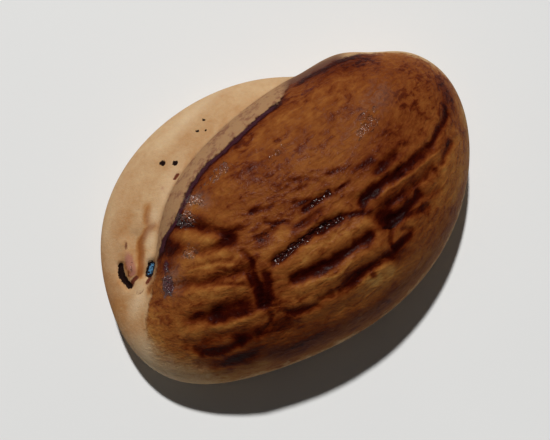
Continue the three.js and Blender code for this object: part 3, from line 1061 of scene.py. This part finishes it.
def glaze_colour(graph, coat_and_sheen_mottle):
    """Golden to burnt as its bake says, lightened by painted sheen, a painted highlight, on the mottled
    areas.
    """
    flecks = graph.scaled(graph.area(FLECKED), FLECK_BAKE)
    bake = graph.swayed(graph.total(graph.field("bake"), flecks), GLAZE_SWINGS)
    bake = graph.total(bake, graph.scaled(graph.field("thin"), THIN_BAKE))
    painted_sheen = graph.math("MULTIPLY", graph.field("painted_sheen"), coat_and_sheen_mottle)
    return graph.mix(graph.scaled(painted_sheen, PAINTED_SHEEN_SHARE), graph.ramp(bake, GLAZE_STOPS), PAINTED_SHEEN_TONE)


def dough_colour(graph):
    """Tan, toasted and creamy areas, the strip beyond the lip, the blush and the scars."""
    bake = graph.total(DOUGH_BAKE, graph.scaled(graph.field("toast"), TOAST_BAKE))
    colour = graph.ramp(graph.swayed(bake, DOUGH_SWINGS), DOUGH_STOPS)
    colour = graph.mix(graph.scaled(graph.field("pale"), PALE_SHARE), colour, PALE)
    strip = graph.mix(graph.area(TANNED), STRIP_PALE, STRIP_DARK)
    colour = graph.mix(graph.field("strip"), colour, strip)
    colour = graph.mix(graph.field("sliver"), colour, SLIVER)
    colour = graph.mix(graph.scaled(graph.area(BLUSHED), BLUSH_SHARE), colour, BLUSH)
    return graph.mix(graph.area(SCARRED), colour, SCAR)


def burnt_marks(graph, colour):
    """A colour with violet burnt glaze, the char in the pinch and, over it, black painted shade in the pits,
    slot and hole.
    """
    colour = graph.mix(graph.scaled(graph.area(VIOLET), PURPLE_SHARE), colour, PURPLE)
    colour = graph.mix(graph.area(CHARRED), colour, CHAR)
    return graph.mix(graph.area(PAINTED_SHADE_IN_PITS), colour, PAINTED_PORE_SHADE)


def crust_bump(graph, glazed, coated):
    varied = [
        graph.math("MULTIPLY", graph.noises[name], graph.blend(glazed, *heights))
        for name, heights in BUMPS.items()
    ]
    height = graph.total(
        *varied,
        graph.scaled(graph.noises["grain"], GRAIN_BUMP),
        graph.math("MULTIPLY", graph.facet, graph.blend(coated, 0.0, FACET_BUMP)),
    )
    relief = graph.node("ShaderNodeBump")
    relief.inputs["Strength"].default_value = 1.0
    relief.inputs["Distance"].default_value = BUMP_HEIGHT * MM
    graph.put(relief.inputs["Height"], height)
    return relief.outputs[0]


def crust_material():
    graph = CrustGraph("baked_crust")
    inputs = graph.shader.inputs
    glazed = glaze_cover(graph)
    # Mottle for the thin clear coat and for the painted sheen.
    coat_and_sheen_mottle = graph.area(COAT_AND_SHEEN_MOTTLE)
    glossy_painted_reflection = graph.area(GLOSSY_PAINTED_REFLECTION)

    colour = burnt_marks(graph, graph.mix(glazed, dough_colour(graph), glaze_colour(graph, coat_and_sheen_mottle)))
    # Painted reflection: the hole's colour is blue sky with glints, painted in.
    painted_reflection = graph.mix(graph.area(PAINTED_GLINT_SPECKS), PAINTED_BLUE_REFLECTION, PAINTED_BLUE_GLINTS)
    graph.put(inputs["Base Color"], graph.mix(glossy_painted_reflection, colour, painted_reflection))
    roughness = graph.swayed(graph.blend(glazed, BARE_ROUGHNESS, GLAZED_ROUGHNESS), ROUGHNESS_SWINGS)
    graph.put(inputs["Roughness"], graph.blend(glossy_painted_reflection, roughness, GLASSY_ROUGHNESS))

    # A hard clear coat over the thick glaze, and hardly any over the rest.
    coated = graph.area(COATED)
    thin_coat = graph.math("MULTIPLY", glazed, graph.blend(coat_and_sheen_mottle, 0.0, CLOUDY_COAT))
    graph.put(inputs["Coat Weight"], graph.math("MAXIMUM", coated, thin_coat))

    bumped = crust_bump(graph, glazed, coated)
    graph.put(inputs["Normal"], bumped)
    graph.put(inputs["Coat Normal"], bumped)
    for name, value in CRUST_CONSTANTS.items():
        graph.put(inputs[name], value)
    return graph.material


FLOOR_GREY, FLOOR_WHITE = (0.74, 0.74, 0.73), (0.78, 0.78, 0.765)
FLOOR_SMOOTH, FLOOR_ROUGH = 0.55, 0.65
FLOOR_CLOUD = 90


def floor_material():
    graph = Graph("pale_floor")
    place = graph.node("ShaderNodeTexCoord").outputs["Object"]
    tone = graph.noise(place, FLOOR_CLOUD, detail=2)
    graph.put(graph.shader.inputs["Base Color"], graph.mix(tone, FLOOR_GREY, FLOOR_WHITE))
    graph.put(graph.shader.inputs["Roughness"], graph.step(tone, 0, 1, FLOOR_SMOOTH, FLOOR_ROUGH))
    return graph.material


# ---- stage, light and camera ----

FLOOR_SIZE = 4.0  # this and the camera's distances are in metres
SUN_ELEVATION = 58
SUN_HEADING = Vector((-0.407, -0.914, 0))  # on the plan, the way its light goes
SUN_STRENGTH, SUN_ANGLE = 3.25, 3
SKY_STRENGTH = 0.045
VIEW_AZIMUTH, VIEW_ELEVATION = -34, 85
VIEW_TARGET = Vector((-5.07, -0.73, 12)) * MM
VIEW_DISTANCE, NEAR_CLIP = 0.43, 0.01
LENS, SENSOR = 96.9, 36


def make_floor():
    mesh = bpy.data.meshes.new("floor")
    half = FLOOR_SIZE / 2
    corners = [(-half, -half, 0), (half, -half, 0), (half, half, 0), (-half, half, 0)]
    mesh.from_pydata(corners, [], [(0, 1, 2, 3)])
    mesh.materials.append(floor_material())
    floor = bpy.data.objects.new("floor", mesh)
    bpy.context.scene.collection.objects.link(floor)


def make_light():
    light = bpy.data.lights.new("key", "SUN")
    light.energy = SUN_STRENGTH
    light.angle = math.radians(SUN_ANGLE)
    sun = bpy.data.objects.new("key", light)
    bpy.context.scene.collection.objects.link(sun)
    elevation = math.radians(SUN_ELEVATION)
    heading = SUN_HEADING * math.cos(elevation) - Vector((0, 0, math.sin(elevation)))
    sun.rotation_euler = heading.to_track_quat("-Z", "Y").to_euler()
    world = bpy.data.worlds.new("sky")
    world.use_nodes = True
    background = world.node_tree.nodes["Background"]
    background.inputs["Color"].default_value = (1, 1, 1, 1)
    background.inputs["Strength"].default_value = SKY_STRENGTH
    bpy.context.scene.world = world
    bpy.context.scene.view_settings.view_transform = "Standard"


def make_camera():
    data = bpy.data.cameras.new("camera")
    data.lens = LENS
    data.sensor_width = SENSOR
    data.clip_start = NEAR_CLIP
    camera = bpy.data.objects.new("camera", data)
    bpy.context.scene.collection.objects.link(camera)
    azimuth, elevation = math.radians(VIEW_AZIMUTH), math.radians(VIEW_ELEVATION)
    back = Vector(
        (
            math.sin(azimuth) * math.cos(elevation),
            -math.cos(azimuth) * math.cos(elevation),
            math.sin(elevation),
        )
    )
    camera.location = VIEW_TARGET + back * VIEW_DISTANCE
    camera.rotation_euler = (-back).to_track_quat("-Z", "Y").to_euler()
    bpy.context.scene.camera = camera


bun = make_bun()
bun.data.materials.append(crust_material())
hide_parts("bun")
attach(bun, "root")
make_floor()
make_light()
make_camera()
